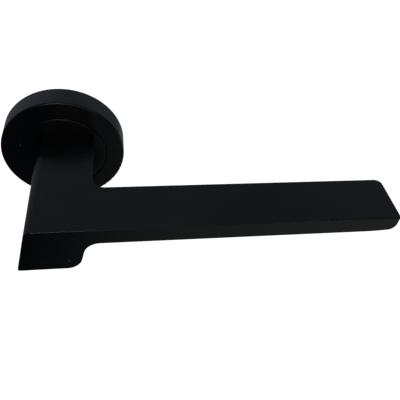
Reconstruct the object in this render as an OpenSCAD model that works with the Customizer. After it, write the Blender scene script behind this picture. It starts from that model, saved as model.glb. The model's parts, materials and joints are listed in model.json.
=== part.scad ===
// Door lever handle on a round sprung rose, with its half spindle and its through fixings.
// All sizes are in millimetres. The origin is the centre of the rose's back face, on the
// turning axis. +X runs along the lever, +Y points into the door and +Z points up, so a
// depth in front of the door is measured along -Y.

/* [Rose] */
// Outside diameter of the rose cover
rose_d = 52; // [49:0.5:64]
// Depth of the rose cover, from the door to its front face
rose_t = 10.4; // [10:0.1:14]
// Thickness of the cover's rim wall
cover_wall = 1; // [0.8:0.1:1.4]
// Thickness of the cover's front face
cover_face = 1.3; // [1.1:0.1:1.6]
// Radius round the cover's front edge
cover_edge_r = 0.7; // [0.3:0.1:0.9]
// Diameter of the collar that turns in the cover's hole
collar_d = 36; // [33:0.5:40]
// Thickness of the collar
collar_t = 1.4; // [1.2:0.1:2]
// Radial gap between the collar and the cover
collar_gap = 0.3; // [0.2:0.05:0.5]

/* [Lever] */
// Distance from the turning axis to the lever's tip
reach = 131.3; // [90:0.1:170]
// Distance from the door to the front of the lever
projection = 65.2; // [48:0.1:84]
// Height of the lever's flat top above the turning axis
top_z = 10.1; // [8:0.1:13]
// Thickness of the bar, top to underside
bar_h = 7.35; // [5:0.05:9]
// Depth of the bar, back to front
bar_depth = 22; // [14:0.5:28]
// Width of the neck, measured level
neck_w = 22.7; // [20:0.1:28]
// Height of the neck, top to underside
neck_h = 21.1; // [19:0.1:27]
// Lean of the neck's two side walls from upright, in degrees
neck_lean = 14.6; // [0:0.1:18]
// How far the middle of the neck stands to the side of the axis, at the axis' height
neck_shift = -0.3; // [-2:0.05:1]
// Radius of the neck's long upper shoulder
shoulder_r = 3.2; // [0.5:0.1:4]
// Radius of the neck's lower inner edge
heel_r = 5.8; // [0.5:0.1:7]
// Radius between the neck's inner wall and the bar's underside
throat_r = 6; // [0.5:0.1:7]
// Radius between the neck's inner wall and the back of the bar
elbow_r = 5; // [0.5:0.1:7]
// Radius of the tip's back corner, seen from above
tip_back_r = 3; // [0.5:0.1:6]
// Radius of the tip's lower corner, seen from the front
tip_low_r = 3.5; // [0.5:0.1:4]
// Radius of the lever's crisp edges
crisp_r = 0.4; // [0.2:0.1:0.8]

/* [Spindle] */
// Width of the square spindle
spindle_w = 8; // [6.5:0.1:8.6]
// Length of spindle that stands out behind the rose
spindle_out = 30; // [15:1:60]
// Depth of the spindle inside the neck, from the rose's front face
spindle_in = 25; // [18:1:32]
// Gap between the spindle's flats and its socket, each side
socket_gap = 0.05; // [0.03:0.01:0.1]
// Diameter of the grub screw that clamps the lever to the spindle
grub_d = 6; // [5:0.5:8]
// Distance from the rose's front face to the grub screw
grub_at = 12; // [8:0.5:16]

/* [Spring cassette] */
// Wall of the lever's round journal outside the corners of the spindle socket
journal_wall = 2.2; // [1.6:0.1:2.6]
// Radial running clearance of the journal in its bush
run_gap = 0.05; // [0.03:0.01:0.1]
// Wall of the bearing bush
bush_wall = 1.2; // [1:0.1:1.4]
// Wall of the boss that holds the bush
boss_wall = 1.2; // [1:0.1:1.5]
// Wire diameter of the return spring
wire_d = 1.2; // [0.9:0.05:1.5]
// Gap between the boss and the inside of the spring
coil_gap = 1; // [0.7:0.05:1.2]
// Gap between the outside of the spring and its chamber
chamber_gap = 1.4; // [1.1:0.05:1.6]
// Turn of the lever between its stops, in degrees
lever_turn = 40; // [30:1:50]
// Diameter of each stop pin
stop_pin_d = 2; // [1.6:0.1:2.4]
// Thickness of the steel plate that closes the cassette
plate_t = 1; // [0.8:0.1:1.2]

/* [Fixings] */
// Distance between the two through fixings
fix_centres = 38; // [37:0.5:44]
// Diameter of the fixing screws
screw_d = 4; // [3.5:0.5:4]
// Length of fixing screw that stands out behind the rose
screw_out = 16; // [14:1:60]
// Diameter of the support lugs
lug_d = 7.8; // [7:0.1:8]
// Length of lug that stands out behind the rose
lug_out = 8; // [5:0.5:12]

/* [Hidden] */
$fn = 96;
cut = 0.02;               // how far a cut runs past the face that it opens
fit_gap = 0.05;           // gap round a piece that is pushed into place
clear_gap = 0.3;          // gap between pieces that move past each other

// Rose and collar
rose_r = rose_d / 2;
collar_r = collar_d / 2;
cover_hole_r = collar_r + collar_gap;
cover_bore_r = rose_r - cover_wall;
base_r = cover_bore_r - 0.2;
cover_back = rose_t - cover_face;
collar_back = rose_t - collar_t;
base_front = collar_back - clear_gap;
collar_well_r = cover_hole_r + clear_gap;

// Snap ring between the base's rim and the cover
snap_wire_d = 1;
snap_depth = 2.6;
snap_r = base_r - 0.1;
snap_groove = snap_wire_d + 0.2;

// Journal, bush, spring and chamber, from the axis outwards
socket_w = spindle_w + 2 * socket_gap;
journal_r = spindle_w / sqrt(2) + journal_wall;
bush_bore_r = journal_r + run_gap;
bush_r = bush_bore_r + bush_wall;
boss_bore_r = bush_r + fit_gap;
boss_r = boss_bore_r + boss_wall;
coil_r = boss_r + coil_gap + wire_d / 2;
chamber_r = coil_r + wire_d / 2 + chamber_gap;

// The cassette's layers, from the door outwards
plate_back = 0.3;
plate_front = plate_back + plate_t;
driver_back = plate_front + 0.6;
driver_flange_t = 0.9;
driver_flange_front = driver_back + driver_flange_t;
driver_hub_t = 1.4;
driver_front = driver_flange_front + driver_hub_t;
washer_t = 0.3;
boss_end = driver_front + 0.1 + washer_t;
web_t = 1.3;
chamber_front = base_front - web_t;

// Bearing bush
bush_flange_r = bush_r + 1.8;
bush_flange_back = base_front - 0.6;
bush_flange_front = collar_back - 0.1;

// Driver and stops
driver_flange_r = chamber_r - 0.6;
driver_hub_r = boss_r - 0.4;
stop_at_r = driver_flange_r - stop_pin_d / 2 - 0.1;
stop_angles = [60, 240];
stop_margin = asin((stop_pin_d / 2 + 0.15) / stop_at_r);
notch_r = stop_at_r - stop_pin_d / 2 - 0.2;

// Return spring: legs at both ends, and as many half turns as the chamber has room for
leg_hole_r = wire_d / 2 + 0.25;
leg_angle = 180;
leg_bend = 1;
coil_first = driver_flange_front + 0.1 + wire_d / 2;
coil_last = chamber_front - 0.1 - wire_d / 2;
coil_turns = floor(2 * (coil_last - coil_first) / (wire_d + 0.03)) / 2;
coil_steps_per_turn = 28;
coil_end_angle = leg_angle + 360 * coil_turns;

// Spring plate
plate_r = fix_centres / 2 - 0.7;
plate_seat_r = plate_r + 0.2;
plate_hole_r = spindle_w / sqrt(2) + 0.7;
plate_screw_r = 0.9;
plate_screw_head_r = 1.8;
plate_screw_at = (chamber_r + plate_r) / 2;
plate_screw_angles = [90, 210, 330];
plate_screw_depth = 3.6;

// Fixing screws, washers and lugs
fix_x = fix_centres / 2;
screw_r = screw_d / 2;
screw_shank_r = screw_r - 0.25;
thread_start = lug_out + 1;
screw_hole_r = screw_r + 0.2;
screw_head_r = 1.8 * screw_r;
screw_head_t = 2.4;
fix_washer_r = 2 * screw_r;
fix_washer_t = 0.8;
head_well_r = fix_washer_r + 0.15;
head_seat = base_front - 0.2 - screw_head_t - fix_washer_t;
lug_r = lug_d / 2;
lug_stem_r = screw_hole_r + 0.75;
lug_stem_front = head_seat - 0.7;

// Lever outline, seen from the front
lean = tan(neck_lean);
function wall_x(side, z) = neck_shift + side * neck_w / 2 + z * lean;
neck_bottom = top_z - neck_h;
bar_bottom = top_z - bar_h;
bar_back = projection - bar_depth;
spindle_tip = rose_t + spindle_in;
clip_bore_r = spindle_w / 2 + 0.9;
grub_depth = rose_t + grub_at;
grub_sink = 0.8;
grub_socket_r = 0.3 * grub_d;

// Collar screws, one each side of the journal, clear of it and of the neck's walls
collar_screw_r = 1.25;
collar_screw_head_r = 2.3;
collar_screw_len = 7;
collar_screw_at = journal_r + 2.8;
collar_screw_angle = 36;

// ---- Placing and outlines ----

// Puts a shape that is drawn upwards at a depth in front of the door, pointing outwards
module out(depth) translate([0, -depth, 0]) rotate([90, 0, 0]) children();

// A disc or ring about the turning axis between two depths
module ring(outer, inner, back, front) out(back) difference() {
    cylinder(h = front - back, r = outer);
    translate([0, 0, -cut]) cylinder(h = front - back + 2 * cut, r = inner);
}

// A round hole or pin along the turning axis, at a place on the rose's face
module rod(x, z, r, back, front) out(back) translate([x, z, 0]) cylinder(h = front - back, r = r);

// A place on the rose's face from a radius and an angle
function polar(r, a) = [r * cos(a), r * sin(a)];

// The points of one corner rounded with radius r; r = 0 keeps the corner sharp
function corner(before, at, after, r) =
    r == 0 ? [at] :
    let (
        u = (before - at) / norm(before - at),
        v = (after - at) / norm(after - at),
        half = acos(u * v) / 2,
        centre = at + (u + v) / norm(u + v) * r / sin(half),
        start = at + u * r / tan(half) - centre,
        end = at + v * r / tan(half) - centre,
        a0 = atan2(start[1], start[0]),
        turn = atan2(start[0] * end[1] - start[1] * end[0], start * end),
        steps = max(2, ceil(abs(turn) / 10))
    )
    [for (i = [0 : steps]) centre + polar(r, a0 + turn * i / steps)];

// An outline from corners given as [x, y, radius]
function rounded(c) = [
    for (i = [0 : len(c) - 1])
        let (n = len(c), b = c[(i + n - 1) % n], a = c[(i + 1) % n])
        each corner([b[0], b[1]], [c[i][0], c[i][1]], [a[0], a[1]], c[i][2])
];

// What is cut off a square corner to round it with radius r
module corner_waste(r) difference() {
    square(r + cut);
    circle(r);
}

// A cross recess in a screw head that faces along +Z
module cross_recess(size, depth) for (a = [0, 90]) rotate(a)
    translate([-size / 2, -size / 9, -depth]) cube([size, size / 4.5, depth + cut]);

// ---- Rose ----

module rose_cover() color([0.11, 0.11, 0.12]) out(0) rotate_extrude() difference() {
    translate([cover_hole_r, 0]) square([rose_r - cover_hole_r, rose_t]);
    square([cover_bore_r, cover_back]);
    translate([0, snap_depth - snap_groove / 2])
        square([snap_r + snap_wire_d / 2 + 0.1, snap_groove]);
    translate([rose_r - cover_edge_r, rose_t - cover_edge_r]) corner_waste(cover_edge_r);
}

module rose_base() color([0.62, 0.63, 0.65]) difference() {
    union() {
        ring(base_r, boss_bore_r, plate_front, base_front);
        ring(base_r, plate_seat_r, 0, plate_front + cut);
        ring(base_r, collar_well_r, base_front - cut, cover_back);
    }
    // Spring chamber, open to the back, round the boss that holds the bush
    ring(chamber_r, boss_r, plate_front - cut, chamber_front);
    ring(boss_r + cut, 0, plate_front - cut, boss_end);
    ring(bush_flange_r + fit_gap, 0, bush_flange_back, base_front + cut);
    // Snap ring groove round the rim
    ring(base_r + 1, snap_r - snap_wire_d / 2 - 0.1,
        snap_depth - snap_groove / 2, snap_depth + snap_groove / 2);
    // Hole for the spring's fixed leg
    rod(coil_r * cos(coil_end_angle), coil_r * sin(coil_end_angle), leg_hole_r,
        chamber_front - cut, chamber_front + 1);
    // Through fixings: lug seat, lug stem, screw hole and a well for the head
    for (s = [-1, 1]) {
        rod(s * fix_x, 0, lug_r + fit_gap, -cut, plate_front);
        rod(s * fix_x, 0, lug_stem_r + fit_gap, 0, lug_stem_front);
        rod(s * fix_x, 0, screw_hole_r, 0, base_front);
        rod(s * fix_x, 0, head_well_r, head_seat, rose_t);
    }
    // Pilot holes for the plate screws
    for (a = plate_screw_angles)
        rod(plate_screw_at * cos(a), plate_screw_at * sin(a), plate_screw_r + 0.02,
            plate_front - cut, plate_front + plate_screw_depth + 0.3);
    // Cored pockets that keep the casting's wall even
    for (a = [32, 112, 212, 292]) out(-cut) rotate(a) rotate_extrude(angle = 36)
        translate([plate_seat_r + 1, 0])
            square([snap_r - snap_wire_d / 2 - 1 - plate_seat_r - 1, base_front - 2]);
}

module bearing_bush() color([0.93, 0.91, 0.85]) {
    ring(bush_r, bush_bore_r, boss_end, bush_flange_front);
    ring(bush_flange_r, bush_bore_r, bush_flange_back, bush_flange_front);
}

module thrust_washer() color([0.72, 0.73, 0.75])
    ring(driver_hub_r, bush_bore_r + 0.2, driver_front + 0.1, boss_end);

// A ring whose flat strip rises and falls three times round
module wave_washer() {
    inner = plate_hole_r + 1.9;
    outer = inner + 1.6;
    strip_t = 0.25;
    steps = 72;
    middle = (plate_front + driver_back) / 2;
    wave = (driver_back - plate_front - strip_t) / 2 - 0.02;
    rings = [for (i = [0 : steps - 1], c = [[inner, -1], [outer, -1], [outer, 1], [inner, 1]])
        let (a = 360 * i / steps, h = middle + wave * sin(3 * a) + c[1] * strip_t / 2)
        [c[0] * cos(a), c[0] * sin(a), h]];
    faces = [for (i = [0 : steps - 1], k = [0 : 3])
        let (j = (i + 1) % steps, m = (k + 1) % 4)
        [4 * i + k, 4 * i + m, 4 * j + m, 4 * j + k]];
    color([0.55, 0.56, 0.6]) out(0) polyhedron(rings, faces, convexity = 4);
}

// One wire: a leg in the driver, the coil, and a leg in the base
module return_spring() {
    length = 2 * PI * coil_r * coil_turns;
    rise = coil_last - coil_first;
    leg_start = driver_back + 0.1;
    leg_end = chamber_front + 0.8;
    coil_steps = round(coil_turns * coil_steps_per_turn);
    bend_steps = 4;
    // The wire's middle as [distance round the cylinder, depth]
    first_bend = [for (i = [0 : bend_steps]) let (a = 180 - 90 * i / bend_steps)
        [leg_bend + leg_bend * cos(a), coil_first - leg_bend + leg_bend * sin(a)]];
    last_bend = [for (i = [0 : bend_steps]) let (a = -90 + 90 * i / bend_steps)
        [length - leg_bend + leg_bend * cos(a), coil_last + leg_bend + leg_bend * sin(a)]];
    coil = [for (i = [1 : coil_steps - 1]) let (f = i / coil_steps)
        [leg_bend + (length - 2 * leg_bend) * f, coil_first + rise * f]];
    path = concat([[0, leg_start]], first_bend, coil, last_bend, [[length, leg_end]]);
    sides = 8;
    last = len(path) - 1;
    points = [for (i = [0 : last])
        let (
            step = path[min(i + 1, last)] - path[max(i - 1, 0)],
            t = step / norm(step),
            a = leg_angle + path[i][0] / coil_r * 180 / PI,
            radial = [cos(a), sin(a), 0],
            round_way = [-sin(a), cos(a), 0],
            across = [0, 0, t[0]] - t[1] * round_way
        )
        for (k = [0 : sides - 1])
            let (b = 360 * k / sides)
            coil_r * radial + [0, 0, path[i][1]]
                + wire_d / 2 * (cos(b) * radial + sin(b) * across)];
    sleeve = [for (i = [0 : last - 1], k = [0 : sides - 1])
        let (m = (k + 1) % sides)
        [sides * i + k, sides * (i + 1) + k, sides * (i + 1) + m, sides * i + m]];
    caps = [[for (k = [0 : sides - 1]) k], [for (k = [sides - 1 : -1 : 0]) sides * last + k]];
    color([0.78, 0.79, 0.8]) out(0) polyhedron(points, concat(sleeve, caps), convexity = 8);
}

module spring_plate() color([0.8, 0.8, 0.78]) difference() {
    ring(plate_r, plate_hole_r, plate_back, plate_front);
    for (s = [-1, 1]) rod(s * fix_x, 0, lug_r + 0.2, 0, plate_front + cut);
    for (a = stop_angles) rod(stop_at_r * cos(a), stop_at_r * sin(a), stop_pin_d / 2, 0,
        plate_front + cut);
    for (a = plate_screw_angles) out(plate_back) translate(polar(plate_screw_at, a)) {
        translate([0, 0, -cut]) cylinder(h = plate_t + 2 * cut, r = plate_screw_r + 0.1);
        translate([0, 0, -cut])
            cylinder(h = 0.8 + cut, r1 = plate_screw_head_r + 0.1, r2 = plate_screw_r + 0.1);
    }
}

module plate_screws() color([0.7, 0.71, 0.73])
    for (a = plate_screw_angles) out(plate_back) translate(polar(plate_screw_at, a))
        difference() {
            union() {
                cylinder(h = 0.8, r1 = plate_screw_head_r, r2 = plate_screw_r);
                cylinder(h = plate_t + plate_screw_depth, r = plate_screw_r);
            }
            mirror([0, 0, 1]) cross_recess(2, 0.45);
        }

module stop_pins() color([0.66, 0.67, 0.7]) for (a = stop_angles)
    rod(stop_at_r * cos(a), stop_at_r * sin(a), stop_pin_d / 2 - 0.01, plate_back,
        driver_flange_front - 0.1);

module cover_snap_ring() color([0.6, 0.61, 0.64]) out(0) rotate(105)
    rotate_extrude(angle = 330) translate([snap_r, snap_depth]) circle(d = snap_wire_d);

module support_lugs() color([0.75, 0.75, 0.76]) for (s = [-1, 1]) difference() {
    union() {
        rod(s * fix_x, 0, lug_r, -lug_out, plate_front);
        rod(s * fix_x, 0, lug_stem_r, 0, lug_stem_front);
    }
    rod(s * fix_x, 0, screw_hole_r, -lug_out - cut, lug_stem_front + cut);
}

// Each screw is threaded where it stands clear of its lug
module fixing_screws() color([0.76, 0.74, 0.66]) for (s = [-1, 1]) difference() {
    union() {
        rod(s * fix_x, 0, screw_r, -screw_out, -thread_start);
        rod(s * fix_x, 0, screw_shank_r, -thread_start - cut, head_seat + fix_washer_t + cut);
        rod(s * fix_x, 0, screw_head_r, head_seat + fix_washer_t,
            head_seat + fix_washer_t + screw_head_t);
    }
    out(head_seat + fix_washer_t + screw_head_t) translate([s * fix_x, 0, 0])
        cross_recess(1.1 * screw_head_r, 1.4);
}

module fixing_washers() color([0.8, 0.8, 0.82]) for (s = [-1, 1]) difference() {
    rod(s * fix_x, 0, fix_washer_r, head_seat, head_seat + fix_washer_t);
    rod(s * fix_x, 0, screw_r + 0.1, head_seat - cut, head_seat + fix_washer_t + cut);
}

// ---- Lever and what turns with it ----

// The neck's section: a leaning block with one long soft shoulder and a round heel
neck_outline = rounded([
    [wall_x(-1, top_z), top_z, shoulder_r],
    [wall_x(-1, neck_bottom), neck_bottom, 2 * crisp_r],
    [wall_x(1, neck_bottom), neck_bottom, heel_r],
    [wall_x(1, top_z), top_z, crisp_r]
]);

// The neck's section joined to the bar, as the lever's front shows it
front_outline = rounded([
    [wall_x(-1, top_z), top_z, shoulder_r],
    [wall_x(-1, neck_bottom), neck_bottom, 2 * crisp_r],
    [wall_x(1, neck_bottom), neck_bottom, heel_r],
    [wall_x(1, bar_bottom), bar_bottom, throat_r],
    [reach, bar_bottom, tip_low_r],
    [reach, top_z, crisp_r]
]);

// The bar seen from above, as [x, depth]: square at the front, rounded at the tip's back
plan_outline = rounded([
    [wall_x(-1, neck_bottom) - 1, bar_back, 0],
    [reach, bar_back, tip_back_r],
    [reach, projection, crisp_r],
    [wall_x(-1, neck_bottom) - 1, projection, 0]
]);

// Fills the inner corner between the neck's leaning wall and the back of the bar
module elbow_fillet() intersection() {
    translate([0, 0, bar_bottom]) mirror([0, 1, 0])
        cube([reach, projection, bar_h]);
    translate([wall_x(1, 0), -bar_back, 0]) rotate([0, neck_lean, 0]) difference() {
        translate([-elbow_r, -elbow_r, -neck_h]) cube([2 * elbow_r, 2 * elbow_r, 2 * neck_h]);
        translate([elbow_r, elbow_r, -neck_h - 1]) cylinder(h = 2 * neck_h + 2, r = elbow_r);
        translate([elbow_r, -elbow_r - 1, -neck_h - 1])
            cube([elbow_r + 1, 3 * elbow_r, 2 * neck_h + 2]);
    }
}

module lever_handle() color([0.09, 0.09, 0.1]) difference() {
    union() {
        out(rose_t) linear_extrude(projection - rose_t) polygon(neck_outline);
        intersection() {
            out(bar_back) linear_extrude(bar_depth) polygon(front_outline);
            translate([0, 0, neck_bottom - 1]) mirror([0, 1, 0])
                linear_extrude(neck_h + 2) polygon(plan_outline);
        }
        elbow_fillet();
        rod(0, 0, journal_r, driver_front, rose_t + cut);
    }
    // The neck's root stands clear of the fixed cover where it passes the collar's edge
    ring(collar_r + neck_w, collar_r, rose_t - cut, rose_t + clear_gap);
    // Square socket for the spindle
    translate([-socket_w / 2, -spindle_tip - 0.5, -socket_w / 2])
        cube([socket_w, spindle_tip + 0.5, socket_w]);
    // Tapped holes for the grub screw and the collar screws
    translate([0, -grub_depth, neck_bottom - 1]) cylinder(h = -neck_bottom + 1, d = grub_d + 0.1);
    for (s = [0, 180]) out(rose_t - cut)
        translate(polar(collar_screw_at, collar_screw_angle + s))
            cylinder(h = collar_screw_len, r = collar_screw_r + 0.02);
}

module neck_collar() color([0.1, 0.1, 0.11]) difference() {
    out(collar_back) rotate_extrude() difference() {
        translate([journal_r + fit_gap, 0]) square([collar_r - journal_r - fit_gap, collar_t]);
        translate([collar_r - 0.25, collar_t - 0.25]) corner_waste(0.25);
    }
    for (s = [0, 180]) out(collar_back) translate(polar(collar_screw_at, collar_screw_angle + s)) {
        translate([0, 0, -cut]) cylinder(h = collar_t + 2 * cut, r = collar_screw_r + 0.05);
        translate([0, 0, -cut]) cylinder(h = 1.1 + cut, r1 = collar_screw_head_r + 0.05,
            r2 = collar_screw_r + 0.05);
    }
}

module collar_screws() color([0.7, 0.71, 0.73])
    for (s = [0, 180]) out(collar_back) translate(polar(collar_screw_at, collar_screw_angle + s))
        difference() {
            union() {
                cylinder(h = 1.1, r1 = collar_screw_head_r, r2 = collar_screw_r);
                cylinder(h = collar_screw_len, r = collar_screw_r);
            }
            mirror([0, 0, 1]) cross_recess(2.6, 0.6);
        }

module grub_screw() color([0.3, 0.3, 0.32])
    translate([0, -grub_depth, 0]) difference() {
        foot = neck_bottom + grub_sink;
        union() {
            translate([0, 0, foot]) cylinder(h = -foot - spindle_w / 2 - 1, d = grub_d);
            translate([0, 0, -spindle_w / 2 - 1])
                cylinder(h = 1, r1 = grub_d / 2, r2 = grub_d / 2 - 0.8);
        }
        translate([0, 0, foot - cut]) cylinder(h = 2.8, r = grub_socket_r, $fn = 6);
    }

// A square bar with its long edges and its two ends chamfered, grooved for the clip
module spindle() color([0.68, 0.69, 0.71]) {
    length = spindle_out + spindle_tip;
    half = spindle_w / 2;
    bevel = 0.6;
    side = [
        [-half, bevel], [-half, length - bevel], [-half + bevel, length], [half - bevel, length],
        [half, length - bevel], [half, bevel], [half - bevel, 0], [-half + bevel, 0]
    ];
    difference() {
        intersection() {
            out(-spindle_out) cylinder(h = length, r = spindle_w / sqrt(2) - 0.35);
            translate([0, spindle_out, -half]) mirror([0, 1, 0])
                linear_extrude(spindle_w) polygon(side);
            translate([-half, spindle_out, 0]) rotate([0, 90, 0]) mirror([0, 1, 0])
                linear_extrude(spindle_w) polygon(side);
        }
        ring(spindle_w, clip_bore_r, driver_back - 0.5, driver_back);
    }
}

// An open ring in the spindle's groove that keeps the spindle from sliding out of the driver
module spindle_clip() color([0.35, 0.36, 0.4]) out(driver_back - 0.45)
    rotate(45 + 20) rotate_extrude(angle = 320)
        translate([clip_bore_r + 0.02, 0]) square([1.5, 0.43]);

module spring_driver() color([0.72, 0.72, 0.7]) difference() {
    union() {
        ring(driver_flange_r, 0, driver_back, driver_flange_front);
        ring(driver_hub_r, 0, driver_back, driver_front);
    }
    translate([-socket_w / 2, -driver_front - cut, -socket_w / 2])
        cube([socket_w, driver_front - driver_back + 2 * cut, socket_w]);
    // Rim notches that meet the stop pins at the two ends of the lever's turn
    for (a = stop_angles) out(driver_back - cut) rotate(a - stop_margin)
        rotate_extrude(angle = lever_turn + 2 * stop_margin)
            translate([notch_r, 0]) square([chamber_r - notch_r, driver_flange_t + 2 * cut]);
    rod(coil_r * cos(leg_angle), coil_r * sin(leg_angle), leg_hole_r, driver_back - cut,
        driver_flange_front + cut);
}

rose_cover();
rose_base();
bearing_bush();
thrust_washer();
wave_washer();
return_spring();
spring_plate();
plate_screws();
stop_pins();
cover_snap_ring();
support_lugs();
fixing_screws();
fixing_washers();
lever_handle();
neck_collar();
collar_screws();
grub_screw();
spindle();
spindle_clip();
spring_driver();
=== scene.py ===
import json
import math

import bmesh
import bpy
from mathutils import Matrix, Vector


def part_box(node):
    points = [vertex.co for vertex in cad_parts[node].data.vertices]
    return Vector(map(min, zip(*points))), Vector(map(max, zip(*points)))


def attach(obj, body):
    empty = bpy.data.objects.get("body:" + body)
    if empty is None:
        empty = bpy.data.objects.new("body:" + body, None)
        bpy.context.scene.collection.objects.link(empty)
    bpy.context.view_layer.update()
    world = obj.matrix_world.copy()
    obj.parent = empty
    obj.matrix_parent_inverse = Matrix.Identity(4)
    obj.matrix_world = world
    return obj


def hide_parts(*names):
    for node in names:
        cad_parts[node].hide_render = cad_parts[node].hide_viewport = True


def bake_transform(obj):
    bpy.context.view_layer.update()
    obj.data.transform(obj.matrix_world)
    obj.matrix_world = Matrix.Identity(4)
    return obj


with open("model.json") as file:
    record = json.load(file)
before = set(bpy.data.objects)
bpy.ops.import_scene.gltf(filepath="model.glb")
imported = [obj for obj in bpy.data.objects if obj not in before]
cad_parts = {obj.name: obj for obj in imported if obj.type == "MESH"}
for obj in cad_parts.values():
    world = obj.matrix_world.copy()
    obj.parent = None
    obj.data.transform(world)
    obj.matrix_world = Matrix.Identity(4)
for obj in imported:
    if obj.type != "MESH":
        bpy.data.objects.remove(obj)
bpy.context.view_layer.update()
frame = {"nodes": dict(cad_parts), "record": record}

# Door lever handle on a round sprung rose. The scene is in metres, in the part's own frame:
# +X runs along the lever, +Y points into the door and +Z points up. A depth is measured
# outwards from the door, so it lies at y = -depth.
MM = 0.001
SAME = 0.002 * MM         # two places closer than this are the same place
SHARP = math.radians(28)  # edges that turn more than this are crisp edges


# ---- Sizes that the finished pieces take from the frame and from the maker's drawing ----

def low(node):
    """A node's lowest corner."""
    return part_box(node)[0]


def high(node):
    """A node's highest corner."""
    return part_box(node)[1]


rose_r = high("rose_cover").x
rose_front = -low("rose_cover").y
collar_r = high("neck_collar").x
collar_back = -high("neck_collar").y
collar_front = -low("neck_collar").y

lever_reach = high("lever_handle").x
lever_front = -low("lever_handle").y
lever_top = high("lever_handle").z
lever_bottom = low("lever_handle").z
journal_back = -high("lever_handle").y
journal_r = 7.857 * MM
neck_w = 22.7 * MM        # measured level
neck_shift = -0.3 * MM
neck_lean = math.radians(14.6)
bar_under = lever_top - 7.35 * MM
bar_back = lever_front - 22 * MM
shoulder_r = 3.3 * MM
foot_r = 0.8 * MM
heel_r = 5.8 * MM
throat_reach = 4.6 * MM   # how far the inner fillets reach along the two walls they join
tip_back_r = 3 * MM
tip_front_r = 1 * MM
tip_low_r = 3.5 * MM
crisp_r = 0.35 * MM

spindle_half = high("spindle").x
socket_half = spindle_half + 0.05 * MM
grub_depth = -(low("grub_screw").y + high("grub_screw").y) / 2
grub_hole_r = high("grub_screw").x + 0.05 * MM
socket_end = 35.9 * MM    # depth where the spindle's socket ends

fixing_x = 19 * MM        # how far the through screws and lugs stand from the axis
screw_bore = 7.2 * MM     # how deep the collar screws' bores run
screw_at = journal_r + 2.8 * MM
screw_angles = (36, 216)


# ---- Mesh helpers ----

def place(x, depth, z):
    """A point from its place across the rose and its depth in front of the door."""
    return Vector((x, -depth, z))


def round_edges(bm, edges, reach, segments):
    """Rounds edges, with the rounding's start this far from them on both sides."""
    bmesh.ops.bevel(
        bm, geom=edges, offset=reach, offset_type="OFFSET", affect="EDGES",
        segments=segments, profile=0.5, material=-1, clamp_overlap=False,
    )


def edges_where(bm, test):
    """Edges whose two ends both pass a test on their place."""
    return [e for e in bm.edges if all(test(v.co) for v in e.verts)]


def crisp_edges(bm):
    """Edges where two faces meet at more than the sharp angle."""
    return [e for e in bm.edges if len(e.link_faces) == 2 and e.calc_face_angle() > SHARP]


def wall_x(side, z):
    """Where the neck's left (-1) or right (1) wall stands at a height."""
    return neck_shift + side * neck_w / 2 + z * math.tan(neck_lean)


def fillet_reach(radius, corner):
    """How far a rounding reaches from a corner of this angle."""
    return radius / math.tan(corner / 2)


def new_object(name, bm):
    """A scene object made from a bmesh, smooth shaded."""
    bmesh.ops.recalc_face_normals(bm, faces=bm.faces)
    mesh = bpy.data.meshes.new(name)
    bm.to_mesh(mesh)
    bm.free()
    for face in mesh.polygons:
        face.use_smooth = True
    made = bpy.data.objects.new(name, mesh)
    bpy.context.scene.collection.objects.link(made)
    return made


def combine(body, tool, operation):
    """Cuts a tool out of a body, or joins it on, and removes the tool."""
    step = body.modifiers.new(operation, "BOOLEAN")
    step.operation = operation
    step.object = tool
    step.solver = "EXACT"
    graph = bpy.context.evaluated_depsgraph_get()
    joined = bpy.data.meshes.new_from_object(body.evaluated_get(graph))
    body.modifiers.clear()
    body.data = joined
    bpy.data.objects.remove(tool)


def turned(name, profile, steps=128, centres=(0,)):
    """Rings or pins turned from a profile of (radius, depth, rounding), one at each centre's x."""
    bm = bmesh.new()
    corners = [bm.verts.new(place(r, depth, 0)) for r, depth, rounding in profile]
    bm.faces.new(corners)
    for corner, (r, depth, rounding) in zip(corners, profile):
        if rounding:
            bmesh.ops.bevel(
                bm, geom=[corner], offset=rounding, offset_type="OFFSET", affect="VERTICES",
                segments=5, profile=0.5, material=-1,
            )
    bmesh.ops.delete(bm, geom=list(bm.faces), context="FACES_ONLY")
    on_axis = edges_where(bm, lambda p: p.x < SAME)
    bmesh.ops.delete(bm, geom=on_axis, context="EDGES")
    bmesh.ops.spin(
        bm, geom=list(bm.verts) + list(bm.edges), cent=(0, 0, 0), axis=(0, 1, 0),
        dvec=(0, 0, 0), angle=math.tau, steps=steps, use_merge=True,
    )
    bmesh.ops.remove_doubles(bm, verts=list(bm.verts), dist=SAME)
    bmesh.ops.dissolve_degenerate(bm, dist=SAME, edges=list(bm.edges))
    first = list(bm.verts) + list(bm.edges) + list(bm.faces)
    for x in centres[1:]:
        copied = bmesh.ops.duplicate(bm, geom=first)["geom"]
        verts = [v for v in copied if isinstance(v, bmesh.types.BMVert)]
        bmesh.ops.translate(bm, verts=verts, vec=(x - centres[0], 0, 0))
    bmesh.ops.translate(bm, verts=list(bm.verts), vec=(centres[0], 0, 0))
    return new_object(name, bm)


def peg(name, back_r, front_r, back, front, x=0.0, z=0.0):
    """A round or tapered tool that points away from the door, for cutting or joining."""
    bm = bmesh.new()
    middle = Matrix.Translation(place(x, (back + front) / 2, z))
    bmesh.ops.create_cone(
        bm, cap_ends=True, segments=64, radius1=back_r, radius2=front_r, depth=front - back,
        matrix=middle @ Matrix.Rotation(math.pi / 2, 4, "X"),
    )
    return new_object(name, bm)


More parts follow.
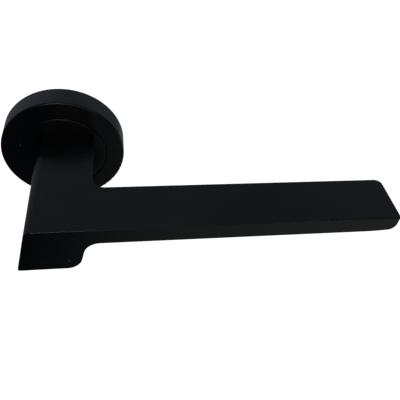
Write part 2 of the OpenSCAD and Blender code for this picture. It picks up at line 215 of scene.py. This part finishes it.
def bore_for_collar_screws(piece, back, front):
    """Bores a piece for the two screws that hold the collar to the lever, with sinks for heads."""
    hole_r, sink_r, sink_depth, past = 1.3 * MM, 2.4 * MM, 1.1 * MM, 0.05 * MM
    for degrees in screw_angles:
        x = screw_at * math.cos(math.radians(degrees))
        z = screw_at * math.sin(math.radians(degrees))
        combine(piece, peg("bore", hole_r, hole_r, back, front, x, z), "DIFFERENCE")
        cone = peg("sink", sink_r, hole_r, collar_back - past, collar_back + sink_depth, x, z)
        combine(piece, cone, "DIFFERENCE")


def block(name, low_corner, high_corner):
    """A plain square tool between two corners, for cutting."""
    bm = bmesh.new()
    size = high_corner - low_corner
    middle = (high_corner + low_corner) / 2
    bmesh.ops.create_cube(
        bm, size=1, matrix=Matrix.Translation(middle) @ Matrix.Diagonal((*size, 1)),
    )
    return new_object(name, bm)


def dress(piece, slot, body, *nodes):
    """Gives a finished piece its material and its body if it is rigid, and hides the nodes it
    stands for.
    """
    piece.data.materials.clear()
    piece.data.materials.append(finishes[slot])
    for face in piece.data.polygons:
        face.use_smooth = True
        face.material_index = 0
    weighted = piece.modifiers.new("weighted_normals", "WEIGHTED_NORMAL")
    weighted.weight = 100
    weighted.keep_sharp = True
    if body is not None:
        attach(piece, body)
    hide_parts(*nodes)
    return piece


# ---- Material helpers ----

class Finish:
    """A material with one Principled shader, and short calls for the nodes round it."""

    def __init__(self, name, colour, metallic, roughness):
        self.material = bpy.data.materials.new(name)
        self.material.use_nodes = True
        self.material.diffuse_color = (*colour, 1)
        self.nodes = self.material.node_tree.nodes
        self.links = self.material.node_tree.links
        self.shader = self.nodes["Principled BSDF"]
        self.shader.inputs["Base Color"].default_value = (*colour, 1)
        self.shader.inputs["Metallic"].default_value = metallic
        self.shader.inputs["Roughness"].default_value = roughness
        self.coords = self.nodes.new("ShaderNodeTexCoord").outputs["Object"]

    def stretched(self, scale):
        """Object coordinates stretched by a factor on each axis."""
        mapping = self.nodes.new("ShaderNodeMapping")
        mapping.inputs["Scale"].default_value = scale
        self.links.new(self.coords, mapping.inputs["Vector"])
        return mapping.outputs["Vector"]

    def noise(self, scale, detail=3.0, coarse=0.5, vector=None):
        """Soft noise with this many blotches in a metre."""
        node = self.nodes.new("ShaderNodeTexNoise")
        node.inputs["Scale"].default_value = scale
        node.inputs["Detail"].default_value = detail
        node.inputs["Roughness"].default_value = coarse
        self.links.new(vector or self.coords, node.inputs["Vector"])
        return node.outputs["Fac"]

    def span(self, value, start, end, first, last):
        """A value's stretch from start to end, spread from first to last."""
        node = self.nodes.new("ShaderNodeMapRange")
        for socket, number in zip(
            ("From Min", "From Max", "To Min", "To Max"), (start, end, first, last)
        ):
            node.inputs[socket].default_value = number
        self.links.new(value, node.inputs["Value"])
        return node.outputs["Result"]

    def product(self, a, b):
        """Two values multiplied."""
        node = self.nodes.new("ShaderNodeMath")
        node.operation = "MULTIPLY"
        self.links.new(a, node.inputs[0])
        self.links.new(b, node.inputs[1])
        return node.outputs["Value"]

    def blend(self, amount, first, second):
        """A colour between two colours, each a colour or a socket."""
        node = self.nodes.new("ShaderNodeMix")
        node.data_type = "RGBA"
        self.links.new(amount, node.inputs["Factor"])
        a_socket, b_socket = node.inputs[6], node.inputs[7]
        for socket, colour in ((a_socket, first), (b_socket, second)):
            if isinstance(colour, tuple):
                socket.default_value = (*colour, 1)
            else:
                self.links.new(colour, socket)
        return node.outputs[2]

    def flecks(self, scale, size, share):
        """1 on small round flecks, in this share of the cells, and 0 elsewhere."""
        cells = self.nodes.new("ShaderNodeTexVoronoi")
        cells.inputs["Scale"].default_value = scale
        self.links.new(self.coords, cells.inputs["Vector"])
        dot = self.span(cells.outputs["Distance"], size, size * 0.6, 0, 1)
        chosen = self.nodes.new("ShaderNodeMath")
        chosen.operation = "LESS_THAN"
        chosen.inputs[1].default_value = share
        parts = self.nodes.new("ShaderNodeSeparateColor")
        self.links.new(cells.outputs["Color"], parts.inputs["Color"])
        self.links.new(parts.outputs["Red"], chosen.inputs[0])
        return self.product(dot, chosen.outputs["Value"])

    def bump(self, height, strength, distance, under=None):
        """Raises the surface by a height, on top of another bump."""
        node = self.nodes.new("ShaderNodeBump")
        node.inputs["Strength"].default_value = strength
        node.inputs["Distance"].default_value = distance
        self.links.new(height, node.inputs["Height"])
        if under is not None:
            self.links.new(under, node.inputs["Normal"])
        return node.outputs["Normal"]

    def use(self, socket, source):
        """Feeds one of the shader's sockets."""
        self.links.new(source, self.shader.inputs[socket])


def black_coat():
    """Satin black coating on metal: fine grain, faint unevenness, handling marks and dust."""
    coat = Finish("satin_black_coat", (0.0045, 0.0048, 0.0055), 0.0, 0.3)
    coat.shader.inputs["Specular IOR Level"].default_value = 0.5
    cloud = coat.noise(38, 4.0, 0.55)
    tone = coat.blend(cloud, (0.0034, 0.0037, 0.0042), (0.0056, 0.0057, 0.0066))
    dust = coat.flecks(210, 0.075, 0.06)
    coat.use("Base Color", coat.blend(dust, tone, (0.12, 0.12, 0.115)))
    rub = coat.noise(120, 5.0, 0.6, coat.stretched((0.25, 1, 1)))
    coat.use("Roughness", coat.span(rub, 0.3, 0.75, 0.22, 0.31))
    grain = coat.bump(coat.noise(5200, 2.0), 0.05, 0.03 * MM)
    coat.use("Normal", coat.bump(coat.noise(420, 3.0), 0.06, 0.12 * MM, grain))
    return coat.material


def zinc_casting():
    """As-cast zinc alloy: dull grey, sandy skin and darker patches."""
    cast = Finish("cast_zinc", (0.36, 0.37, 0.39), 0.7, 0.5)
    patch = cast.noise(90, 5.0, 0.6)
    cast.use("Base Color", cast.blend(patch, (0.24, 0.245, 0.26), (0.46, 0.465, 0.48)))
    cast.use("Roughness", cast.span(cast.noise(700, 3.0), 0.3, 0.7, 0.42, 0.62))
    skin = cast.bump(cast.noise(3600, 3.0), 0.3, 0.05 * MM)
    cast.use("Normal", cast.bump(cast.noise(500, 2.0), 0.25, 0.15 * MM, skin))
    return cast.material


def natural_nylon():
    """Moulded nylon: creamy white, slightly cloudy, with a soft sheen."""
    nylon = Finish("natural_nylon", (0.72, 0.69, 0.6), 0.0, 0.42)
    cloud = nylon.noise(260, 3.0)
    nylon.use("Base Color", nylon.blend(cloud, (0.66, 0.63, 0.54), (0.76, 0.73, 0.65)))
    nylon.use("Normal", nylon.bump(nylon.noise(1800, 2.0), 0.1, 0.03 * MM))
    return nylon.material


def drawn_steel():
    """Bright drawn steel: fine lines along the bar."""
    steel = Finish("drawn_steel", (0.52, 0.53, 0.55), 1.0, 0.3)
    lines = steel.noise(4200, 3.0, 0.6, steel.stretched((1, 0.03, 1)))
    stain = steel.noise(110, 4.0)
    steel.use("Base Color", steel.blend(stain, (0.42, 0.43, 0.45), (0.6, 0.61, 0.62)))
    steel.use("Roughness", steel.span(lines, 0.3, 0.7, 0.24, 0.42))
    steel.use("Normal", steel.bump(lines, 0.15, 0.02 * MM))
    return steel.material


def spring_steel():
    """Oil-tempered spring steel: dark, bluish and faintly streaked."""
    steel = Finish("tempered_steel", (0.2, 0.21, 0.24), 1.0, 0.34)
    heat = steel.noise(150, 3.0)
    steel.use("Base Color", steel.blend(heat, (0.15, 0.16, 0.2), (0.26, 0.25, 0.25)))
    steel.use("Roughness", steel.span(steel.noise(2400, 3.0), 0.3, 0.7, 0.28, 0.42))
    return steel.material


def zinc_plate():
    """Bright zinc plate: pale, with faint blue and straw-coloured clouds."""
    plate = Finish("zinc_plate", (0.6, 0.61, 0.6), 1.0, 0.28)
    cloud = plate.noise(170, 4.0)
    plate.use("Base Color", plate.blend(cloud, (0.52, 0.55, 0.6), (0.66, 0.63, 0.54)))
    plate.use("Roughness", plate.span(plate.noise(900, 4.0), 0.3, 0.7, 0.3, 0.44))
    plate.use("Normal", plate.bump(plate.noise(2600, 2.0), 0.03, 0.02 * MM))
    return plate.material


def black_oxide():
    """Black oxide on a set screw: dark brown-black with rubbed corners."""
    oxide = Finish("black_oxide", (0.03, 0.029, 0.03), 0.8, 0.42)
    rub = oxide.noise(900, 4.0)
    oxide.use("Base Color", oxide.blend(rub, (0.02, 0.02, 0.021), (0.06, 0.056, 0.052)))
    oxide.use("Roughness", oxide.span(rub, 0.3, 0.7, 0.36, 0.5))
    return oxide.material


finishes = {
    "black_coat": black_coat(),
    "zinc_casting": zinc_casting(),
    "nylon": natural_nylon(),
    "bright_steel": drawn_steel(),
    "spring_steel": spring_steel(),
    "zinc_plated_steel": zinc_plate(),
    "black_oxide_steel": black_oxide(),
}


# ---- Finished pieces ----

def lever_block():
    """The neck and the bar as one sharp-edged block."""
    bm = bmesh.new()
    section = [
        (wall_x(-1, lever_top), lever_top), (wall_x(-1, lever_bottom), lever_bottom),
        (wall_x(1, lever_bottom), lever_bottom), (wall_x(1, lever_top), lever_top),
    ]
    root = bm.faces.new([bm.verts.new(place(x, rose_front, z)) for x, z in section])
    grown = bmesh.ops.extrude_face_region(bm, geom=[root], use_keep_orig=True)["geom"]
    front_verts = [v for v in grown if isinstance(v, bmesh.types.BMVert)]
    bmesh.ops.translate(bm, verts=front_verts, vec=(0, rose_front - lever_front, 0))
    for middle, normal in (((0, -bar_back, 0), (0, 1, 0)), ((0, 0, bar_under), (0, 0, 1))):
        everything = list(bm.verts) + list(bm.edges) + list(bm.faces)
        bmesh.ops.bisect_plane(bm, geom=everything, plane_co=middle, plane_no=normal, dist=SAME)
    bmesh.ops.recalc_face_normals(bm, faces=bm.faces)
    side = [
        f for f in bm.faces
        if f.normal.x > 0.5 and f.calc_center_median().y < -bar_back
        and f.calc_center_median().z > bar_under
    ]
    grown = bmesh.ops.extrude_face_region(bm, geom=side)["geom"]
    bmesh.ops.delete(bm, geom=side, context="FACES_ONLY")
    for v in grown:
        if isinstance(v, bmesh.types.BMVert):
            v.co.x = lever_reach
    bmesh.ops.dissolve_limit(
        bm, angle_limit=math.radians(0.5), verts=list(bm.verts), edges=list(bm.edges),
    )
    bmesh.ops.recalc_face_normals(bm, faces=bm.faces)
    return bm


def on_line(x, z):
    """Tests whether a place lies on the line along the neck at x and z."""
    return lambda p: abs(p.x - x) < SAME and abs(p.z - z) < SAME


def tip_edges(bm, depth):
    """The bar's end edges at a depth, from its top down round the lower rounding."""
    at_tip = edges_where(
        bm, lambda p: abs(p.y + depth) < SAME and p.x > lever_reach - tip_low_r - SAME
    )
    return [e for e in at_tip if abs(e.verts[0].co.z - e.verts[1].co.z) > SAME]


def round_lever(bm):
    """Rounds the lever's edges, the large ones first."""
    wide = math.pi / 2 + neck_lean
    narrow = math.pi / 2 - neck_lean
    inner_corner = edges_where(bm, on_line(wall_x(1, bar_under), bar_under))
    elbow = edges_where(
        bm, lambda p: abs(p.y + bar_back) < SAME and abs(p.x - wall_x(1, p.z)) < SAME
    )
    round_edges(bm, inner_corner + elbow, throat_reach, 10)
    for x, z, reach, segments in (
        (wall_x(1, lever_bottom), lever_bottom, fillet_reach(heel_r, wide), 10),
        (wall_x(-1, lever_top), lever_top, fillet_reach(shoulder_r, wide), 8),
        (wall_x(-1, lever_bottom), lever_bottom, fillet_reach(foot_r, narrow), 4),
        (lever_reach, bar_under, tip_low_r, 8),
    ):
        round_edges(bm, edges_where(bm, on_line(x, z)), reach, segments)
    for depth, reach, segments in ((bar_back, tip_back_r, 8), (lever_front, tip_front_r, 5)):
        round_edges(bm, tip_edges(bm, depth), reach, segments)
    round_edges(bm, crisp_edges(bm), crisp_r, 3)
    for v in bm.verts:
        v.co.y = max(v.co.y, -lever_front)


def handle_casting():
    """The lever: neck, bar and journal, with its socket and its tapped holes."""
    bm = lever_block()
    round_lever(bm)
    lever = new_object("handle_casting", bm)
    combine(lever, peg("journal", journal_r, journal_r, journal_back, rose_front + MM), "UNION")
    combine(lever, block(
        "socket", place(-socket_half, socket_end, -socket_half),
        place(socket_half, journal_back - MM, socket_half),
    ), "DIFFERENCE")
    bore = bmesh.new()
    bmesh.ops.create_cone(
        bore, cap_ends=True, segments=48, radius1=grub_hole_r, radius2=grub_hole_r,
        depth=-lever_bottom + MM,
        matrix=Matrix.Translation(place(0, grub_depth, (lever_bottom - MM) / 2)),
    )
    combine(lever, new_object("grub_bore", bore), "DIFFERENCE")
    bore_for_collar_screws(lever, collar_back - MM, collar_back + screw_bore)
    return dress(lever, "black_coat", "lever", "lever_handle")


def rose_shell():
    """The turned cover of the rose, with its rounded front edge and its snap groove."""
    wall, face, edge = 1 * MM, 1.3 * MM, 0.7 * MM
    hole_r = collar_r + 0.3 * MM
    groove, groove_depth = 0.6 * MM, 2.6 * MM
    bore_r = rose_r - wall
    profile = [
        (rose_r, 0, 0.15 * MM),
        (rose_r, rose_front, edge),
        (hole_r, rose_front, 0.15 * MM),
        (hole_r, rose_front - face, 0),
        (bore_r, rose_front - face, 0),
        (bore_r, groove_depth + groove, 0),
        (bore_r + 0.3 * MM, groove_depth + groove, 0),
        (bore_r + 0.3 * MM, groove_depth - groove, 0),
        (bore_r, groove_depth - groove, 0),
        (bore_r, 0, 0.15 * MM),
    ]
    shell = turned("rose_shell", profile, 160)
    return dress(shell, "black_coat", "rose", "rose_cover")


def collar_ring():
    """The collar that turns with the lever inside the rose cover."""
    bore_r = journal_r + 0.05 * MM
    profile = [
        (collar_r, collar_back, 0.1 * MM), (collar_r, collar_front, 0.4 * MM),
        (bore_r, collar_front, 0), (bore_r, collar_back, 0),
    ]
    ring = turned("collar_ring", profile, 160)
    bore_for_collar_screws(ring, collar_back - MM, collar_front + MM)
    return dress(ring, "black_coat", "lever", "neck_collar")


def cross_cutter(x, depth):
    """A cross-shaped tool for the recess in a screw's head."""
    long, wide, recess = 3.9 * MM, 3.9 * MM / 4.5, 1.4 * MM
    arms = [
        block(
            "arm", place(x - across / 2, depth, -upright / 2),
            place(x + across / 2, depth - recess, upright / 2),
        )
        for across, upright in ((long, wide), (wide, long))
    ]
    combine(arms[0], arms[1], "UNION")
    return arms[0]


def machine_screws():
    """The two through screws: pan head, plain shank, and a thread where they stand clear."""
    tip = high("fixing_screws").y
    head_front = -low("fixing_screws").y
    head_r = high("fixing_screws").x - fixing_x
    head_t, shank_r, crest_r, root_r = 2.4 * MM, 1.75 * MM, 2 * MM, 1.62 * MM
    lead_r, pitch, thread_len = 1.32 * MM, 0.7 * MM, 7 * MM
    first_root, flank, crest = 0.35 * pitch, 0.28 * pitch, 0.12 * pitch
    profile = [(0, -tip, 0), (lead_r, -tip, 0.1 * MM)]
    for turn in range(int(thread_len / pitch)):
        root = first_root - tip + pitch * turn
        profile += [
            (root_r, root, 0), (crest_r, root + flank, 0), (crest_r, root + flank + crest, 0),
        ]
    profile += [
        (shank_r, -tip + thread_len, 0), (shank_r, head_front - head_t, 0),
        (head_r, head_front - head_t, 0.15 * MM), (head_r, head_front, 0.8 * MM),
        (0, head_front, 0),
    ]
    screws = turned("machine_screws", profile, 48, (-fixing_x, fixing_x))
    for x in (-fixing_x, fixing_x):
        combine(screws, cross_cutter(x, head_front + 0.01 * MM), "DIFFERENCE")
    return dress(screws, "zinc_plated_steel", "rose", "fixing_screws")


def lug_sleeves():
    """The two lugs that stand behind the rose, with their ends chamfered."""
    end = high("support_lugs").y
    seat = -low("support_lugs").y
    lug_r, stem_r, bore_r, shoulder = 3.9 * MM, 2.95 * MM, 2.2 * MM, 1.3 * MM
    profile = [
        (bore_r, -end, 0.15 * MM), (lug_r, -end, 0.5 * MM), (lug_r, shoulder, 0.1 * MM),
        (stem_r, shoulder, 0), (stem_r, seat, 0.1 * MM), (bore_r, seat, 0),
    ]
    lugs = turned("lug_sleeves", profile, 64, (-fixing_x, fixing_x))
    return dress(lugs, "zinc_casting", "rose", "support_lugs")


def drive_bar():
    """The square spindle, its long edges softened and its ends chamfered, grooved for its clip."""
    chamfer, soft_edge = 0.6 * MM, 0.4 * MM
    groove_r, groove_back, groove_front, past = 4.9 * MM, 1.4 * MM, 1.9 * MM, 8 * MM
    bm = bmesh.new()
    start, end = low("spindle"), high("spindle")
    size = end - start
    bmesh.ops.create_cube(
        bm, size=1, matrix=Matrix.Translation((start + end) / 2) @ Matrix.Diagonal((*size, 1)),
    )
    bmesh.ops.bevel(
        bm, geom=[e for e in bm.edges if abs(e.verts[0].co.y - e.verts[1].co.y) < SAME],
        offset=chamfer, offset_type="OFFSET", affect="EDGES", segments=1, profile=0.5,
        material=-1,
    )
    long_edges = [
        e for e in bm.edges
        if e.calc_length() > size.y / 2 and e.calc_face_angle() > SHARP
    ]
    round_edges(bm, long_edges, soft_edge, 3)
    bar = new_object("drive_bar", bm)
    groove = [
        (past, groove_back, 0), (past, groove_front, 0), (groove_r, groove_front, 0),
        (groove_r, groove_back, 0),
    ]
    combine(bar, turned("groove", groove, 64), "DIFFERENCE")
    return dress(bar, "bright_steel", "lever", "spindle")


def last_loop(spun):
    """The open end of a tube that was just spun."""
    return [g for g in spun["geom_last"] if not isinstance(g, bmesh.types.BMFace)]


def torsion_spring():
    """The return spring: one wire with a leg, two and a half coils and another leg."""
    wire_r, bend, turns = 0.6 * MM, 1 * MM, 2.5
    first, last = 3.5 * MM, 6.7 * MM
    coil_r = high("return_spring").x - wire_r
    leg_start = -high("return_spring").y
    leg_end = -low("return_spring").y
    bm = bmesh.new()
    start = Matrix.Translation(place(-coil_r, leg_start, 0))
    bmesh.ops.create_circle(
        bm, segments=16, radius=wire_r, matrix=start @ Matrix.Rotation(math.pi / 2, 4, "X"),
    )
    loop = list(bm.verts) + list(bm.edges)
    straight = {"axis": (1, 0, 0), "cent": (0, 0, 0), "angle": 0}
    quarter = {"axis": (1, 0, 0), "angle": math.pi / 2, "steps": 6, "dvec": (0, 0, 0)}
    coil_steps = 100
    sweep = math.tau * turns - 2 * bend / coil_r
    runs = [
        {**straight, "steps": 1, "dvec": (0, -(first - bend - leg_start), 0)},
        {**quarter, "cent": place(-coil_r, first - bend, -bend)},
        {
            "axis": (0, -1, 0), "cent": (0, 0, 0), "angle": sweep, "steps": coil_steps,
            "dvec": (0, -(last - first) / coil_steps, 0),
        },
        {**quarter, "cent": place(coil_r, last + bend, -bend)},
        {**straight, "steps": 1, "dvec": (0, -(leg_end - last - bend), 0)},
    ]
    for run in runs:
        loop = last_loop(bmesh.ops.spin(bm, geom=loop, **run))
    bmesh.ops.remove_doubles(bm, verts=list(bm.verts), dist=SAME)
    open_edges = [e for e in bm.edges if e.is_boundary]
    bmesh.ops.holes_fill(bm, edges=open_edges, sides=0)
    spring = new_object("torsion_spring", bm)
    dress(spring, "spring_steel", None, "return_spring")
    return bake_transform(spring)


def retaining_wire():
    """The open wire ring that holds the cover on the base."""
    wire_r, gap, gap_end = 0.5 * MM, math.radians(30), math.radians(105)
    start, end = low("cover_snap_ring"), high("cover_snap_ring")
    ring_r = (end.x - start.x) / 2 - wire_r
    bm = bmesh.new()
    bmesh.ops.create_circle(
        bm, segments=12, radius=wire_r,
        matrix=Matrix.Translation((ring_r, (start.y + end.y) / 2, 0)),
    )
    bmesh.ops.rotate(
        bm, verts=list(bm.verts), cent=(0, 0, 0),
        matrix=Matrix.Rotation(-gap_end, 3, "Y"),
    )
    bmesh.ops.spin(
        bm, geom=list(bm.verts) + list(bm.edges), cent=(0, 0, 0), axis=(0, -1, 0),
        dvec=(0, 0, 0), angle=math.tau - gap, steps=110,
    )
    bmesh.ops.holes_fill(bm, edges=[e for e in bm.edges if e.is_boundary], sides=0)
    wire = new_object("retaining_wire", bm)
    return dress(wire, "spring_steel", "rose", "cover_snap_ring")


handle_casting()
rose_shell()
collar_ring()
machine_screws()
lug_sleeves()
drive_bar()
torsion_spring()
retaining_wire()

# CAD nodes that keep their own mesh take their slot's finish
for row in frame["record"]["subparts"]:
    node = frame["nodes"][row["node"]]
    if not node.hide_render:
        node.data.materials.clear()
        node.data.materials.append(finishes[row["material_slot"]])
        for face in node.data.polygons:
            face.material_index = 0


# ---- Room, light and camera ----

def studio_bowl():
    """A pale floor that curves up into a backdrop and closes over the room."""
    bm = bmesh.new()
    floor_z, floor_r, bend_r, wall_z, bend_steps = -0.4, 2.2, 1.2, 2.6, 12
    profile = [Vector((0, 0, floor_z)), Vector((floor_r, 0, floor_z))]
    for step in range(1, bend_steps + 1):
        a = math.pi / 2 * step / bend_steps
        profile.append(Vector((
            floor_r + bend_r * math.sin(a), 0, floor_z + bend_r * (1 - math.cos(a)),
        )))
    profile.append(Vector((floor_r + bend_r, 0, wall_z)))
    profile.append(Vector((floor_r, 0, wall_z + bend_r)))
    profile.append(Vector((0, 0, wall_z + bend_r)))
    points = [bm.verts.new(p) for p in profile]
    edges = [bm.edges.new(pair) for pair in zip(points, points[1:])]
    bmesh.ops.spin(
        bm, geom=points + edges, cent=(0, 0, 0), axis=(0, 0, 1), dvec=(0, 0, 0),
        angle=math.tau, steps=64, use_merge=True,
    )
    bmesh.ops.remove_doubles(bm, verts=list(bm.verts), dist=SAME)
    bowl = new_object("studio_bowl", bm)
    pale = Finish("pale_floor", (0.9, 0.9, 0.9), 0.0, 0.9)
    pale.shader.inputs["Emission Color"].default_value = (1, 1, 1, 1)
    pale.shader.inputs["Emission Strength"].default_value = 1.0
    pale.shader.inputs["Specular IOR Level"].default_value = 0.0
    bowl.data.materials.append(pale.material)
    bowl.visible_glossy = False
    bowl.visible_diffuse = False
    bowl.visible_shadow = False


def soft_room():
    """A dim room round the part, with soft glows where its walls and windows would be."""
    world = bpy.data.worlds.new("soft_room")
    bpy.context.scene.world = world
    world.use_nodes = True
    nodes, links = world.node_tree.nodes, world.node_tree.links
    nodes.clear()
    output = nodes.new("ShaderNodeOutputWorld")
    coords = nodes.new("ShaderNodeTexCoord").outputs["Generated"]
    # Each glow: the way to its middle, the closeness to it (as a cosine) at which it starts
    # and is full, its colour and its strength
    glows = [
        ((0.1, 0.75, 0.65), 0.35, 1.0, (0.7, 1.0, 1.22), 0.105),
        ((-0.85, 0.45, 0.25), 0.4, 1.0, (1.15, 0.92, 1.2), 0.08),
        ((0.72, 0.45, 0.5), 0.8, 1.0, (1.2, 0.75, 0.9), 0.06),
        ((0.51, -0.56, -0.65), 0.79, 0.85, (1.0, 1.0, 0.95), 0.12),
        ((0.51, -0.56, -0.65), 0.82, 1.0, (1.0, 1.0, 0.95), 0.055),
        ((0.0, 1.0, -0.2), 0.5, 0.75, (0.95, 1.0, 1.0), 0.08),
        ((0.0, 1.0, -0.2), 0.88, 1.0, (1.0, 1.0, 1.0), 0.6),
        ((0.8, 0.2, -0.56), 0.9, 1.0, (0.95, 1.0, 0.95), 0.6),
        ((0.1, -0.96, 0.3), 0.82, 1.0, (1.0, 1.0, 1.0), 0.25),
        ((0.0, 0.45, -0.9), 0.7, 1.0, (1.0, 1.0, 1.0), 0.3),
    ]
    total = nodes.new("ShaderNodeBackground")
    total.inputs["Color"].default_value = (0.2, 0.8, 1.2, 1)
    total.inputs["Strength"].default_value = 0.015
    total = total.outputs["Background"]
    for way, start, end, colour, strength in glows:
        facing = nodes.new("ShaderNodeVectorMath")
        facing.operation = "DOT_PRODUCT"
        facing.inputs[1].default_value = Vector(way).normalized()
        links.new(coords, facing.inputs[0])
        fade = nodes.new("ShaderNodeMapRange")
        fade.interpolation_type = "SMOOTHSTEP"
        fade.inputs["From Min"].default_value = start
        fade.inputs["From Max"].default_value = end
        fade.inputs["To Max"].default_value = strength
        links.new(facing.outputs["Value"], fade.inputs["Value"])
        glow = nodes.new("ShaderNodeBackground")
        glow.inputs["Color"].default_value = (*colour, 1)
        links.new(fade.outputs["Result"], glow.inputs["Strength"])
        both = nodes.new("ShaderNodeAddShader")
        links.new(total, both.inputs[0])
        links.new(glow.outputs["Background"], both.inputs[1])
        total = both.outputs["Shader"]
    links.new(total, output.inputs["Surface"])


def softbox(name, position, aim, size, power, colour=(1, 1, 1)):
    """A square soft light that points at a place and isn't seen by the camera."""
    lamp = bpy.data.lights.new(name, "AREA")
    lamp.size = size
    lamp.energy = power
    lamp.color = colour
    holder = bpy.data.objects.new(name, lamp)
    holder.location = position
    way = Vector(aim) - Vector(position)
    holder.rotation_euler = way.to_track_quat("-Z", "Y").to_euler()
    holder.visible_camera = False
    bpy.context.scene.collection.objects.link(holder)


def set_camera():
    """The camera, above and in front of the rose, looking down along the lever."""
    camera = bpy.data.cameras.new("camera")
    camera.sensor_width = 36
    camera.lens = 43.34   # in mm, for the sensor above
    camera.clip_start = 0.01
    camera.clip_end = 20
    holder = bpy.data.objects.new("camera", camera)
    stand = Vector((0.02607, -0.17905, 0.13931))
    ahead = Vector((0.1525, 0.6931, -0.7045)).normalized()
    right = Vector((0.9878, -0.1302, 0.0856)).normalized()
    up = right.cross(ahead)
    turn = Matrix((right, up, -ahead)).transposed().to_4x4()
    holder.matrix_world = Matrix.Translation(stand) @ turn
    bpy.context.scene.collection.objects.link(holder)
    bpy.context.scene.camera = holder


studio_bowl()
soft_room()
softbox("ceiling_light", (-0.1, 0.3, 1.6), (0, 0, 0), 1.4, 1.2)
softbox("window_light", (-0.17, -1.06, 0.27), (0, -0.065, 0.01), 0.08, 0.9)
softbox("lamp_light", (0.45, -0.97, 0.26), (0.08, -0.065, 0.01), 0.06, 0.25)
set_camera()
bpy.context.scene.view_settings.view_transform = "Standard"
